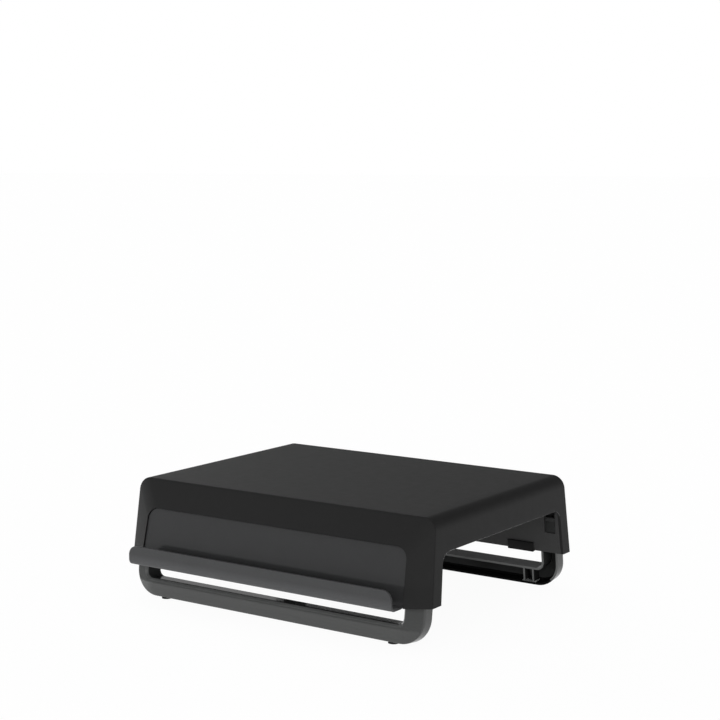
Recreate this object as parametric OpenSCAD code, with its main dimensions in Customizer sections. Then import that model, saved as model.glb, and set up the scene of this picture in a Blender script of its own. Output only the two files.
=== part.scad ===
// Monitor riser stand: a hollow top shell on two loop feet that slide in its legs, with a tray on its front.
// Millimetres, +X right, +Y back, +Z up, origin on the desk at the middle of the footprint.

/* [Shell] */
// Width across the legs at the shell's lower edge
shell_w = 380; // [360:1:420]
// Height of the shell from its lower edge to its top
shell_h = 85; // [80:1:95]
// Depth of the flat top
top_d = 259; // [240:1:290]
// Lean of the front and rear ends, feet and inner walls, in degrees
lean = 7.2; // [6:0.1:8]
// Lean of the left and right sides, in degrees
side_lean = 2.3; // [1.5:0.1:3]
// Radius of the rounded left and right top edges
top_r = 13.4; // [10:0.1:15]
// Wall thickness of the shell
wall = 2.5; // [2:0.1:2.8]
// How far the middle of the front stands forward of its ends, at the lower edge
bulge = 14.7; // [13:0.1:16]
// Lean of the raised middle of the front, in degrees
rim_lean = 11.8; // [11:0.1:12.5]
// Width of the raised middle at the lower edge
rim_w = 331; // [320:1:334]
// Height of the raised middle
rim_h = 56.4; // [52:0.1:58]
// Corner radius of the raised middle
rim_r = 12; // [8:0.5:14]
// Height of the arch in each end face
arch_h = 49.7; // [44:0.1:52]
// Corner radius of the arch
arch_r = 13; // [8:0.5:18]
// Depth of a leg, from its front face to the inner wall
leg_d = 15.6; // [15.4:0.1:16.4]

/* [Tray] */
// Thickness of the tray
tray_t = 2.4; // [2:0.1:2.6]
// How far the tray's panel lies behind the rim around it
panel_set = 1.6; // [1:0.1:2]
// Distance of the lip's front face from the foremost edge of the shell
lip_reach = 18.9; // [14:0.1:22]
// Height of the lip above the shell's lower edge
lip_top = 20.8; // [16:0.1:26]
// Width of the tray along its lip
lip_w = 330; // [326:1:340]
// Radius of the lip's upper corners
lip_r = 10; // [6:0.5:14]

/* [Feet] */
// Width of a foot
foot_w = 363.6; // [340:0.2:364]
// Drop of a foot below the shell's lower edge, along its lean
foot_drop = 38.8; // [34:0.1:42]
// Width of the loop's band
band = 19.9; // [18:0.1:20]
// Outer corner radius of the loop
foot_r = 27; // [22:0.5:30]
// Corner radius of the loop's opening
opening_r = 7; // [4:0.5:8]
// How far the loop's face swells forward from its outer edge to its opening
swell = 8.5; // [6:0.1:9]
// Wall thickness of the foot
foot_t = 2.5; // [2:0.1:2.8]
// Height that the shell drops by when the feet are pushed in
foot_travel = 16; // [10:1:16]
// Height of the tongues above the shell's lower edge
tongue_h = 37.2; // [36:0.1:38]

/* [Locks and pads] */
// Travel of a lock
lock_travel = 6; // [5:0.5:6.5]
// Distance of a lock's inner end from the middle
lock_x = 122.5; // [110:0.5:124]
// Width of a lock's tab
lock_w = 31.5; // [28:0.5:33]
// Distance of the rubber pads from the middle
pad_x = 144.5; // [140:0.5:148]
// Radius of a rubber pad
pad_r = 5.5; // [4:0.1:5.8]
// Height of the pads below the lowest edge of the feet
pad_proud = 0.4; // [0.3:0.1:2]

/* [Hidden] */
$fn = 64;
e = 0.1;
tip = 0.3;
cut = 1;
far = 500;

// Shell
end_d = top_d / 2 + shell_h * tan(lean);
rim_y = end_d + bulge;
rim_len = rim_h / cos(rim_lean);
land = 0.6;
pocket = panel_set + tray_t;
ledge_w = 8;
ledge_t = 2;
ledge_from = 24;
ledge_lap = 3;
rib_t = 2;
long_rib_h = 14;
cross_rib_h = 3;
long_rib_xs = [-120, -40, 40, 120];
cross_rib_ys = [-70, 0, 70];

// Tray
tray_low = 0;
tray_bend = 6.5;
lip_bend = 3.5;
panel_gap = 0.4;
tray_clear = 0.5;

// Inner walls, in the leaning frame of an end
cover_t = 1.4;
cover_y = leg_d - cover_t;
cover_gap = 0.3;
cover_top = 68;
window_x0 = 168.5;
window_x1 = 181.5;
window_clear = 0.5;

// Foot, in the leaning frame of an end
foot_y0 = 0.7;
foot_y1 = 13.8;
rim_fy = foot_y0 - swell;
foot_x = foot_w / 2;
open_x = foot_x - band;
open_z = band - foot_drop;
chamfer = 2.8;
shoulder = 3;
tongue_y = 4;
nub_h = 12.4;
nub_w = 12;
nub_rise = 4.2;
nub_y = leg_d - tip;
nub_x = (window_x0 + window_x1) / 2;
finger_t = 2.5;
pad_y = 7.5;
rib_gap = 8.8;
seat_w = 16.8;
seat_t = 0.8;
rib_foot_t = 2.2;
pad_stem_r = 2;
pad_head_r = 3;
pad_head_h = 1.4;

// Lock, in the leaning frame of an end
lock_t = 1.6;
lock_low = 0.5;
lock_high = 11.1;
lock_plate_t = 1.8;
lock_plate_y = cover_y - cover_gap - lock_plate_t;
bolt_z0 = 20;
bolt_z1 = 25;
bolt_gap = 2.5;
bolt_tip = open_x - bolt_gap;
bolt_lap = 1;
lock_web_t = 1.2;
notch_clear = 0.4;
rail_z = 14;
rail_h = 2;
rail_len = 14;
rail_x = lock_x + lock_w / 2 + lock_travel / 2;

// Guide, in the leaning frame of an end
guide_gap = 0.3;
guide_t = 1.6;
guide_z0 = 20.5;
guide_z1 = 63;
bridge_gap = 0.9;
bridge_z = tongue_h + nub_rise + foot_travel + bridge_gap;
guide_x0 = 166;
guide_x1 = foot_x + guide_gap + guide_t;
guide_screw_z = (bridge_z + guide_z1) / 2;
guide_screw_len = 7;

// Screws
screw_r = 1.4;
pilot_r = 1.45;
through_r = 1.7;
head_r = 2.9;
head_h = 1.8;
recess_w = 3.2;
recess_t = 0.7;
recess_d = 0.9;
boss_r = 4;
web_t = 3;
cover_screw_xs = [-125, -45, 45, 125];
cover_screw_z = 62;
cover_screw_len = 9;
tray_screw_xs = [-140, -50, 50, 140];
tray_boss_r = 3.6;
tray_hole_r = 3.9;
tray_head_r = 5.2;
tray_screw_len = 3.2;
tray_screw_z = rim_len - land - ledge_w / 2;

// Placing
lift = foot_drop * cos(lean) + foot_y1 * sin(lean) + pad_proud;
shell_y = lip_reach / 2;

// Points of an arc in a plane, from angle a0 to angle a1
function arc(cx, cy, r, a0, a1, steps = 10) =
    [for (i = [0:steps]) let (a = a0 + (a1 - a0) * i / steps) [cx + r * cos(a), cy + r * sin(a)]];

// Frames: the shell's own, with its lower edge at zero, and the leaning plane of its front or rear end
module in_shell() { translate([0, shell_y, lift]) children(); }
module end_plane() { translate([0, -end_d, 0]) rotate([-lean, 0, 0]) children(); }
module rim_plane() { translate([0, -rim_y, 0]) rotate([-rim_lean, 0, 0]) children(); }
module at_front() { in_shell() end_plane() children(); }
module at_rear() { in_shell() mirror([0, 1, 0]) end_plane() children(); }
module flip(left) { mirror([left ? 1 : 0, 0, 0]) children(); }
module both_ends() {
    children();
    mirror([0, 1, 0]) children();
}
module both_sides() {
    children();
    mirror([1, 0, 0]) children();
}

// A flat shape in X and Z, carried from y0 to y1
module slab(y0, y1) { translate([0, y1, 0]) rotate([90, 0, 0]) linear_extrude(y1 - y0) children(); }

// A box between two corners
module box(low, high) { translate(low) cube(high - low); }

// Upright shape with leaning sides and rounded upper corners, drawn from below its base line
module arched(half, height, r, side, below = 0) {
    cx = half - r / cos(side) - (height - r) * tan(side);
    tx = cx + r * cos(side);
    tz = height - r + r * sin(side);
    low = half + below * tan(side);
    polygon([[-low, -below], [low, -below], [tx, tz], [cx, height], [-cx, height], [-tx, tz]]);
    for (s = [-1, 1]) translate([s * cx, height - r]) circle(r);
}

// Upright loop shape with rounded lower corners, up to the height top
module hung(half, low, r, top) {
    polygon([
        [-half, low + r], [-half + r, low], [half - r, low], [half, low + r],
        [half, top], [-half, top]
    ]);
    for (s = [-1, 1]) translate([s * (half - r), low + r]) intersection() {
        circle(r);
        translate([-r, -r]) square([2 * r, r]);
    }
}

// Body of the shell without its raised middles, made smaller by inset
module shell_block(inset, below = 0) {
    half = shell_w / 2 - inset / cos(side_lean);
    base = end_d - inset / cos(lean);
    top = shell_h - inset;
    intersection() {
        slab(-far, far) arched(half, top, top_r - inset, side_lean, below);
        rotate([90, 0, 90]) translate([0, 0, -far]) linear_extrude(2 * far)
            polygon([
                [-base - below * tan(lean), -below], [base + below * tan(lean), -below],
                [base - top * tan(lean), top], [top * tan(lean) - base, top]
            ]);
    }
}

// Outline of the raised middle in its own plane
module rim_shape(inset, below = 0) {
    arched(rim_w / 2 - inset, rim_len - inset, rim_r - inset, side_lean, below);
}

// Whole form of the shell: its block and, at each end, the slopes from the block's outline to the raised rim
module shell_form(inset, below = 0) {
    hull($fn = 48) {
        shell_block(inset, below);
        both_ends() rim_plane() slab(inset, inset + e) rim_shape(0, below);
    }
}

// Ledge behind the rim that the tray's panel is screwed to
module tray_ledge() {
    rim_plane() difference() {
        slab(wall - tip, pocket + ledge_t) rim_shape(-ledge_lap);
        slab(-e, pocket) rim_shape(land, e);
        slab(0, pocket + ledge_t + e) rim_shape(land + ledge_w, e);
        box([-far, -far, -far], [far, far, ledge_from]);
        for (x = tray_screw_xs) translate([x, 0, tray_screw_z]) rotate([-90, 0, 0])
            cylinder(h = far, r = tray_hole_r);
    }
}

// Ribs under the top, deep from front to back and low across, and the webs that the posts hang from
module top_ribs() {
    long_low = shell_h - wall - long_rib_h;
    cross_low = shell_h - wall - cross_rib_h;
    reach = top_d / 2 - leg_d;
    intersection() {
        shell_block(wall - e);
        union() {
            for (x = long_rib_xs) box([x - rib_t / 2, -reach, long_low], [x + rib_t / 2, reach, shell_h]);
            for (y = cross_rib_ys) box([-far, y - rib_t / 2, cross_low], [far, y + rib_t / 2, shell_h]);
            both_ends() end_plane() for (x = cover_screw_xs)
                box([x - web_t / 2, 0, cover_screw_z + boss_r / 2],
                    [x + web_t / 2, cover_y - cover_gap, far]);
        }
    }
}

// Posts that carry the inner wall's screws
module cover_posts() {
    for (x = cover_screw_xs) translate([x, 0, cover_screw_z]) rotate([-90, 0, 0]) difference() {
        translate([0, 0, wall]) cylinder(h = cover_y - wall, r = boss_r);
        translate([0, 0, cover_y - cover_screw_len]) cylinder(h = cover_screw_len + e, r = pilot_r);
    }
}

module top_shell() {
    color([0.15, 0.15, 0.15]) in_shell() {
        difference() {
            intersection() {
                shell_form(0, e);
                box([-far, -far, 0], [far, far, far]);
            }
            shell_form(wall, cut);
            rotate([90, 0, 90]) translate([0, 0, -far]) linear_extrude(2 * far)
                arched(end_d - leg_d / cos(lean), arch_h, arch_r, lean, cut);
            rim_plane() slab(-cut, pocket) rim_shape(land, cut);
        }
        tray_ledge();
        top_ribs();
        both_ends() end_plane() cover_posts();
    }
}

// Flat wall on the inside of a leg pair, with the windows that the feet's catches run in
module inner_cover() {
    half = shell_w / 2 - wall / cos(side_lean) - cover_gap;
    intersection() {
        difference() {
            union() {
                slab(cover_y, leg_d) polygon([
                    [-half, 0], [half, 0],
                    [half - cover_top * tan(side_lean), cover_top],
                    [cover_top * tan(side_lean) - half, cover_top]
                ]);
                both_sides() lock_rail();
            }
            both_sides() {
                box([window_x0, 0, tongue_h - nub_h - window_clear],
                    [window_x1, far, tongue_h + nub_rise + foot_travel + window_clear]);
                translate([nub_x, 0, guide_screw_z]) rotate([-90, 0, 0]) cylinder(h = far, r = through_r);
            }
            for (x = cover_screw_xs) translate([x, 0, cover_screw_z]) rotate([-90, 0, 0])
                cylinder(h = far, r = through_r);
        }
        rotate([lean, 0, 0]) box([-far, -far, 0], [far, far, far]);
    }
}

// Rail on the back of the inner wall that a lock slides on
module lock_rail() {
    box([rail_x - rail_len / 2, lock_plate_y - cover_gap, rail_z],
        [rail_x + rail_len / 2, cover_y + tip, rail_z + rail_h]);
}

module front_inner_cover() { color([0.17, 0.17, 0.17]) at_front() inner_cover(); }
module rear_inner_cover() { color([0.17, 0.17, 0.17]) at_rear() inner_cover(); }

// Section of the tray: panel, curved foot, floor and lip
module tray_section() {
    set = panel_set / cos(rim_lean);
    floor_z = tray_low + tray_t;
    panel_top = rim_h - land - panel_gap;
    lip_y = -rim_y - lip_reach;
    bend_z = floor_z + tray_bend;
    bend_y = -rim_y + set + bend_z * tan(rim_lean) - tray_bend / cos(rim_lean);
    back = tray_t / cos(rim_lean);
    face_y = -rim_y + set + panel_top * tan(rim_lean);
    lip_cy = lip_y + tray_t + lip_bend;
    lip_cz = floor_z + lip_bend;
    polygon(concat(
        [[face_y, panel_top]],
        arc(bend_y, bend_z, tray_bend, -rim_lean, -90),
        arc(lip_cy, lip_cz, lip_bend, 270, 180),
        [[lip_y + tray_t, lip_top], [lip_y, lip_top]],
        arc(lip_cy, lip_cz, lip_bend + tray_t, 180, 270),
        arc(bend_y, bend_z, tray_bend + tray_t, -90, -rim_lean),
        [[face_y + back, panel_top]]
    ));
}

module device_tray() {
    color([0.24, 0.24, 0.24]) in_shell() {
        difference() {
            intersection() {
                rotate([90, 0, 90]) translate([0, 0, -lip_w / 2]) linear_extrude(lip_w) tray_section();
                union() {
                    rim_plane() slab(-lip_reach / 2, far) rim_shape(land + tray_clear, far);
                    slab(-far, -rim_y - 2 * tray_clear) arched(lip_w / 2, lip_top, lip_r, 0, far);
                }
            }
            rim_plane() tray_pilots(-e);
        }
        difference() {
            rim_plane() for (x = tray_screw_xs) translate([x, pocket - e, tray_screw_z]) rotate([-90, 0, 0])
                cylinder(h = ledge_t + e, r = tray_boss_r);
            rim_plane() tray_pilots(e);
        }
    }
}

// Blind holes for the tray's screws
module tray_pilots(past) {
    depth = tray_screw_len + tip;
    for (x = tray_screw_xs) translate([x, pocket + ledge_t - depth, tray_screw_z]) rotate([-90, 0, 0])
        cylinder(h = depth + past, r = pilot_r);
}

// Opening of the loop, grown by grow, up to the height top
module opening_shape(grow, top) { hung(open_x + grow, open_z - grow, opening_r + grow, top); }

// Solid outside of the loop: swells from its outline to the rim of the opening
module loop_block(inset) {
    back = foot_y1 + (inset > 0 ? cut : 0);
    hull($fn = 32) {
        slab(foot_y0 + inset, back) hung(foot_x - inset, inset - foot_drop, foot_r - inset, shoulder - inset);
        slab(rim_fy + inset, rim_fy + inset + e) opening_shape(chamfer, shoulder - inset);
    }
}

// Hollow of the loop's channel
module loop_channel() {
    difference() {
        loop_block(foot_t);
        slab(-far, far) opening_shape(foot_t, far);
    }
}

// Upright tongue that slides in a leg
module tongue() {
    difference() {
        box([open_x, tongue_y, 0], [foot_x, foot_y1, tongue_h]);
        tongue_channel();
        for (z = [bolt_z0, bolt_z0 - foot_travel])
            box([open_x - e, lock_plate_y - notch_clear, z - notch_clear],
                [open_x + foot_t + e, far, z + bolt_z1 - bolt_z0 + notch_clear]);
    }
    box([nub_x - nub_w / 2, foot_y1 - finger_t, tongue_h - nub_h],
        [nub_x + nub_w / 2, nub_y, tongue_h + nub_rise]);
}

module tongue_channel() {
    box([open_x + foot_t, tongue_y + foot_t, -band], [foot_x - foot_t, far, tongue_h - foot_t]);
}

// Ribs and seat around a pad, inside the loop's bar
module pad_seat() {
    low = foot_t - foot_drop - e;
    for (s = [-1, 1]) translate([pad_x + s * (rib_gap + rib_foot_t) / 2, 0, 0])
        box([-rib_foot_t / 2, foot_y0, low], [rib_foot_t / 2, foot_y1, open_z - foot_t + e]);
    box([pad_x - seat_w / 2, foot_y0 + foot_t, low], [pad_x + seat_w / 2, foot_y1, low + seat_t + e]);
}

module foot() {
    difference() {
        union() {
            difference() {
                loop_block(0);
                loop_channel();
                both_sides() tongue_channel();
            }
            both_sides() pad_seat();
        }
        slab(-far, far) opening_shape(0, far);
        hull($fn = 32) {
            slab(rim_fy + chamfer, rim_fy + chamfer + e) opening_shape(0, shoulder + cut);
            slab(rim_fy - e, rim_fy) opening_shape(chamfer + tip, shoulder + cut);
        }
        both_sides() pad_hole();
    }
    both_sides() tongue();
}

module pad_hole() {
    translate([pad_x, pad_y, -foot_drop - e]) cylinder(h = foot_t + seat_t + 2 * e, r = pad_stem_r + tip / 2);
}

module front_foot() { color([0.33, 0.33, 0.33]) at_front() foot(); }
module rear_foot() { color([0.33, 0.33, 0.33]) at_rear() foot(); }

// Rubber pad with a stem and a button that holds it in the foot, cut level with the desk
module pad() {
    inside = foot_t + seat_t;
    intersection() {
        translate([pad_x, pad_y, -foot_drop]) {
            translate([0, 0, -band]) cylinder(h = band, r = pad_r);
            cylinder(h = inside + pad_head_h, r = pad_stem_r);
            translate([0, 0, inside]) cylinder(h = pad_head_h, r = pad_head_r);
        }
        rotate([lean, 0, 0]) translate([0, end_d, -lift]) box([-far, -far, 0], [far, far, far]);
    }
}

module front_left_pad() { color([0.08, 0.08, 0.08]) at_front() flip(true) pad(); }
module front_right_pad() { color([0.08, 0.08, 0.08]) at_front() flip(false) pad(); }
module rear_left_pad() { color([0.08, 0.08, 0.08]) at_rear() flip(true) pad(); }
module rear_right_pad() { color([0.08, 0.08, 0.08]) at_rear() flip(false) pad(); }

// Lock that clips round the inner wall's lower edge: tab outside, plate and bolt inside
module lock() {
    x1 = lock_x + lock_w;
    web_top = lock_low + lock_web_t;
    slot = rail_len / 2 + lock_travel + cover_gap;
    box([lock_x, leg_d + cover_gap, lock_low], [x1, leg_d + cover_gap + lock_t, lock_high]);
    box([lock_x, lock_plate_y, lock_low], [x1, leg_d + cover_gap + lock_t, web_top]);
    difference() {
        box([lock_x, lock_plate_y, lock_low], [x1, lock_plate_y + lock_plate_t, bolt_z1]);
        box([rail_x - slot, -far, rail_z - cover_gap],
            [rail_x + rail_len / 2 + cover_gap, far, rail_z + rail_h + cover_gap]);
    }
    box([x1 - bolt_lap, lock_plate_y, bolt_z0], [bolt_tip, lock_plate_y + lock_plate_t, bolt_z1]);
}

module front_left_lock() { color([0.07, 0.07, 0.07]) at_front() flip(true) lock(); }
module front_right_lock() { color([0.07, 0.07, 0.07]) at_front() flip(false) lock(); }
module rear_left_lock() { color([0.07, 0.07, 0.07]) at_rear() flip(true) lock(); }
module rear_right_lock() { color([0.07, 0.07, 0.07]) at_rear() flip(false) lock(); }

// Sleeve that a tongue slides in: front plate, side plate and a bridge screwed to the inner wall
module guide() {
    y0 = tongue_y - guide_gap - guide_t;
    difference() {
        union() {
            box([guide_x0, y0, guide_z0], [guide_x1, y0 + guide_t, guide_z1]);
            box([guide_x1 - guide_t, y0, guide_z0], [guide_x1, cover_y, guide_z1]);
            box([guide_x0, y0, bridge_z], [guide_x1, cover_y, guide_z1]);
        }
        translate([nub_x, cover_y - guide_screw_len, guide_screw_z]) rotate([-90, 0, 0])
            cylinder(h = guide_screw_len + e, r = pilot_r);
    }
}

module front_left_guide() { color([0.12, 0.12, 0.12]) at_front() flip(true) guide(); }
module front_right_guide() { color([0.12, 0.12, 0.12]) at_front() flip(false) guide(); }
module rear_left_guide() { color([0.12, 0.12, 0.12]) at_rear() flip(true) guide(); }
module rear_right_guide() { color([0.12, 0.12, 0.12]) at_rear() flip(false) guide(); }

// Pan-head screw from the inner wall's face, its shank towards the front of the end
module cover_screw(x, z, depth) {
    translate([x, leg_d, z]) rotate([-90, 0, 0]) {
        difference() {
            cylinder(h = head_h, r = head_r);
            drive_recess(head_h);
        }
        translate([0, 0, -cover_t - depth + tip]) cylinder(h = cover_t + depth - tip, r = screw_r);
    }
}

// Cross recess in a screw's head
module drive_recess(height) {
    for (a = [0, 90]) rotate([0, 0, a])
        box([-recess_w / 2, -recess_t / 2, height - recess_d], [recess_w / 2, recess_t / 2, height + e]);
}

module cover_screws() { for (x = cover_screw_xs) cover_screw(x, cover_screw_z, cover_screw_len); }
module front_cover_screws() { color([0.6, 0.6, 0.62]) at_front() cover_screws(); }
module rear_cover_screws() { color([0.6, 0.6, 0.62]) at_rear() cover_screws(); }
module guide_screws() {
    color([0.6, 0.6, 0.62]) in_shell() both_ends() end_plane() both_sides()
        cover_screw(nub_x, guide_screw_z, guide_screw_len);
}

// Washer-head screws that hold the tray from behind the ledge
module tray_screws() {
    color([0.6, 0.6, 0.62]) in_shell() rim_plane() for (x = tray_screw_xs)
        translate([x, pocket + ledge_t, tray_screw_z]) rotate([-90, 0, 0]) {
            difference() {
                cylinder(h = head_h, r = tray_head_r);
                drive_recess(head_h);
            }
            translate([0, 0, -tray_screw_len]) cylinder(h = tray_screw_len, r = screw_r);
        }
}

top_shell();
front_inner_cover();
rear_inner_cover();
device_tray();
front_foot();
rear_foot();
front_left_guide();
front_right_guide();
rear_left_guide();
rear_right_guide();
front_left_lock();
front_right_lock();
rear_left_lock();
rear_right_lock();
front_left_pad();
front_right_pad();
rear_left_pad();
rear_right_pad();
tray_screws();
front_cover_screws();
rear_cover_screws();
guide_screws();
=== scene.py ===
import math

import bmesh
import bpy
import numpy as np
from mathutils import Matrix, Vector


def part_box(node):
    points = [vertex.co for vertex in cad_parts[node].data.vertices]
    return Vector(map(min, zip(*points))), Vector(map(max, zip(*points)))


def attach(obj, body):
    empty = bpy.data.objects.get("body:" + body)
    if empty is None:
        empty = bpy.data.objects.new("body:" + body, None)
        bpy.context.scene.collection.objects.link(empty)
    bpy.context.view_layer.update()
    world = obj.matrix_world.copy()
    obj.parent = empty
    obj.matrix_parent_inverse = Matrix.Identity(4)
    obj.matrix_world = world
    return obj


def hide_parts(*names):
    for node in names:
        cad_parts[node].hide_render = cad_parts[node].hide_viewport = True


# Monitor riser stand: moulded top shell on two loop feet, with a tray on its front.
# Metres, +X right, +Y back, +Z up, desk at zero.
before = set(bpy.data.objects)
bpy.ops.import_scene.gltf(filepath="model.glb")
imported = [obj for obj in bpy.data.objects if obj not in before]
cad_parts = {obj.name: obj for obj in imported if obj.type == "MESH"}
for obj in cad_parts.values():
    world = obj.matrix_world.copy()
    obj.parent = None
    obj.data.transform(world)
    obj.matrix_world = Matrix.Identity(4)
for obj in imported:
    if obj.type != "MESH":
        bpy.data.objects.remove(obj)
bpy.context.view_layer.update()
mm = 0.001
print("frame loaded:", len(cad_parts), "nodes")

# Driving sizes of the mouldings; leans are in degrees
stand = dict(
    width=380 * mm, height=85 * mm, topDepth=259 * mm, wall=2.5 * mm,
    lean=7.2, sideLean=2.3, topRadius=13.4 * mm,
    bulge=14.7 * mm, rimLean=11.8, rimWidth=331 * mm, rimHeight=56.4 * mm, rimRadius=12 * mm,
    archHeight=49.7 * mm, archRadius=13 * mm, legDepth=15.6 * mm,
)
shellLow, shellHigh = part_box("top_shell")
shellY = (shellLow.y + shellHigh.y) / 2
lift = shellLow.z
lean = math.radians(stand["lean"])
sideLean = math.radians(stand["sideLean"])
rimLean = math.radians(stand["rimLean"])
endDepth = stand["topDepth"] / 2 + stand["height"] * math.tan(lean)
rimDepth = endDepth + stand["bulge"]
rimLength = stand["rimHeight"] / math.cos(rimLean)


# Points given in the shell's own frame, moved to the desk's frame
def toDesk(points):
    return points + np.array([0.0, shellY, lift])


# A plane that leans back by angle from the line Y = -depth at the shell's lower edge: x stays,
# Y = -depth + y cos + z sin, Z = z cos - y sin; the rear plane is the front one mirrored in Y
def leaning(points, angle, depth, rear):
    x, y, z = np.moveaxis(points, -1, 0)
    outY = y * math.cos(angle) + z * math.sin(angle) - depth
    outZ = z * math.cos(angle) - y * math.sin(angle)
    return np.stack([x, -outY if rear else outY, outZ], axis=-1)


# Points given by x, depth and height in an end's plane, or in the rim's, moved to the desk's frame
def onEnd(points, rear):
    return toDesk(leaning(points, lean, endDepth, rear))


def onRim(points):
    return toDesk(leaning(points, rimLean, rimDepth, False))


# Three arrays, or numbers, spread to one shape and stacked as points
def pointsOf(x, y, z):
    return np.stack(np.broadcast_arrays(x, y, z), axis=-1).astype(float)


# Straight run between two grids of points: P(t) = a + t (b - a), with t along a new last grid axis
def run(a, b, count, last=True):
    t = np.linspace(0, 1, count, endpoint=last)[:, None]
    return a[..., None, :] + t * (b - a)[..., None, :]


# Rounded corner: the quadratic curve through a and b that aims at the corner,
# P(t) = (1-t)^2 a + 2t(1-t) corner + t^2 b
def rounded(a, corner, b, count):
    t = np.linspace(0, 1, count)[:, None]
    return (1 - t) ** 2 * a[..., None, :] + 2 * t * (1 - t) * corner[..., None, :] + t ** 2 * b[..., None, :]


# Path through corner points in a plane: straight runs, with each inner corner cut back by its own radius
# and replaced by a rounded corner; counts gives the points of each run, arcCount those of each corner
def softPath(corners, radii, counts, arcCount=5):
    corners = np.array(corners, float)
    step = np.diff(corners, axis=0)
    step /= np.linalg.norm(step, axis=1)[:, None]
    cut = np.array([0.0, *radii, 0.0])[:, None]
    before = corners[1:] - step * cut[1:]
    after = corners[:-1] + step * cut[:-1]
    parts = []
    for i, count in enumerate(counts):
        parts.append(run(after[i], before[i], count, last=i == len(counts) - 1))
        if i < len(counts) - 1:
            parts.append(rounded(before[i], corners[i + 1], after[i + 1], arcCount)[:-1])
    return np.concatenate(parts)


# Closed wall between two grids of points of one shape: the outer grid's quads, the inner grid's quads
# turned round, and a strip between the two along every edge that only one kept quad has
def wallMesh(outer, inner, keep=None):
    rows, cols = outer.shape[:2]
    total = rows * cols
    index = np.arange(total).reshape(rows, cols)
    quads = np.stack([index[:-1, :-1], index[1:, :-1], index[1:, 1:], index[:-1, 1:]], axis=-1)
    quads = quads.reshape(-1, 4) if keep is None else quads[keep]
    edges = np.concatenate([quads[:, [0, 1]], quads[:, [1, 2]], quads[:, [2, 3]], quads[:, [3, 0]]])
    code = edges.min(axis=1) * total + edges.max(axis=1)
    first, times = np.unique(code, return_index=True, return_counts=True)[1:]
    rim = edges[first[times == 1]]
    strip = np.stack([rim[:, 1], rim[:, 0], rim[:, 0] + total, rim[:, 1] + total], axis=-1)
    faces = np.concatenate([quads, quads[:, ::-1] + total, strip])
    points = np.concatenate([outer.reshape(-1, 3), inner.reshape(-1, 3)])
    used, faces = np.unique(faces, return_inverse=True)
    return points[used], faces.reshape(-1, 4)


# Block with rounded edges: a ball of radius r whose octants are pulled apart,
# P(u, v) = centre + sign (half - r) + r direction(u, v), with flat quads on the two ends
def softBlock(low, high, r, count=4):
    low, high = np.minimum(low, high), np.maximum(low, high)
    half = (high - low) / 2
    quarter = np.linspace(0, math.pi / 2, count)
    polar = np.concatenate([quarter - math.pi / 2, quarter])
    around = np.concatenate([quarter + k * math.pi / 2 for k in range(4)] + [[0.0]])
    signs = np.repeat([[1, 1], [-1, 1], [-1, -1], [1, -1]], count, axis=0)
    signs = np.concatenate([signs, [[1, 1]]])
    rise = np.repeat([-1, 1], count)
    ring = np.cos(polar)[:, None]
    direction = pointsOf(ring * np.cos(around), ring * np.sin(around), np.sin(polar)[:, None])
    sign = pointsOf(signs[:, 0], signs[:, 1], rise[:, None])
    grid = (low + high) / 2 + sign * (half - r) + r * direction
    rows, cols = grid.shape[:2]
    index = np.arange(rows * cols).reshape(rows, cols)
    quads = np.stack([index[:-1, :-1], index[:-1, 1:], index[1:, 1:], index[1:, :-1]], axis=-1)
    ends = np.stack([index[0, :-1:count][::-1], index[-1, :-1:count]])
    return grid.reshape(-1, 3), np.concatenate([quads.reshape(-1, 4), ends])


# Solid of revolution: a profile of (r, h) pairs turned about the Z axis and closed at both poles,
# P(i, a) = (r cos a, r sin a, h)
def turnedMesh(profile, count=40):
    profile = np.array(profile, float)
    angle = np.linspace(0, 2 * math.pi, count + 1)
    grid = pointsOf(
        profile[:, :1] * np.cos(angle), profile[:, :1] * np.sin(angle), profile[:, 1:])
    index = np.arange(grid.shape[0] * grid.shape[1]).reshape(grid.shape[:2])
    quads = np.stack([index[:-1, :-1], index[:-1, 1:], index[1:, 1:], index[1:, :-1]], axis=-1)
    return grid, quads.reshape(-1, 4)


# What every piece's mesh shares: points closer than mergeGap become one, edges under tinyEdge go, a soft
# edge has edgeFaces faces across, and an edge is sharp where its faces turn by over sharpTurn degrees
meshing = dict(mergeGap=2e-6, tinyEdge=1e-7, edgeFaces=3, sharpTurn=40)


# One property of a mesh's parts as an array: a row of width values for each part, or one value if width is 0
def valuesOf(parts, key, width, kind=np.float32):
    values = np.empty(len(parts) * max(width, 1), kind)
    parts.foreach_get(key, values)
    return values.reshape(-1, width) if width else values


# Wider soft edges in a second, light finish that is a painted highlight: a bevel by weight, 1 on the sharp
# edges whose middle wide picks. The meshes are closed, so the normals of the two faces at an edge are a pair
# once the loops are sorted by edge
def paintedHighlightEdges(piece, width, wide, edgeHighlight):
    mesh = piece.data
    place = valuesOf(mesh.vertices, "co", 3)
    ends = valuesOf(mesh.edges, "vertices", 2, np.int32)
    loopEdge = valuesOf(mesh.loops, "edge_index", 0, np.int32)
    counts = valuesOf(mesh.polygons, "loop_total", 0, np.int32)
    loopNormal = np.repeat(valuesOf(mesh.polygons, "normal", 3), counts, axis=0)
    pairs = loopNormal[np.argsort(loopEdge, kind="stable")].reshape(-1, 2, 3)
    sharp = (pairs[:, 0] * pairs[:, 1]).sum(axis=1) < math.cos(math.radians(meshing["sharpTurn"]))
    weight = (wide(place[ends].mean(axis=1)) & sharp).astype(np.float32)
    mesh.attributes.new("bevel_weight_edge", "FLOAT", "EDGE").data.foreach_set("value", weight)
    mesh.materials.append(edgeHighlight)
    edge = piece.modifiers.new("paintedHighlightEdges", "BEVEL")
    edge.width = width
    edge.segments = meshing["edgeFaces"]
    edge.limit_method = "WEIGHT"
    edge.material = 1
    piece.modifiers.move(len(piece.modifiers) - 1, 0)
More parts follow.
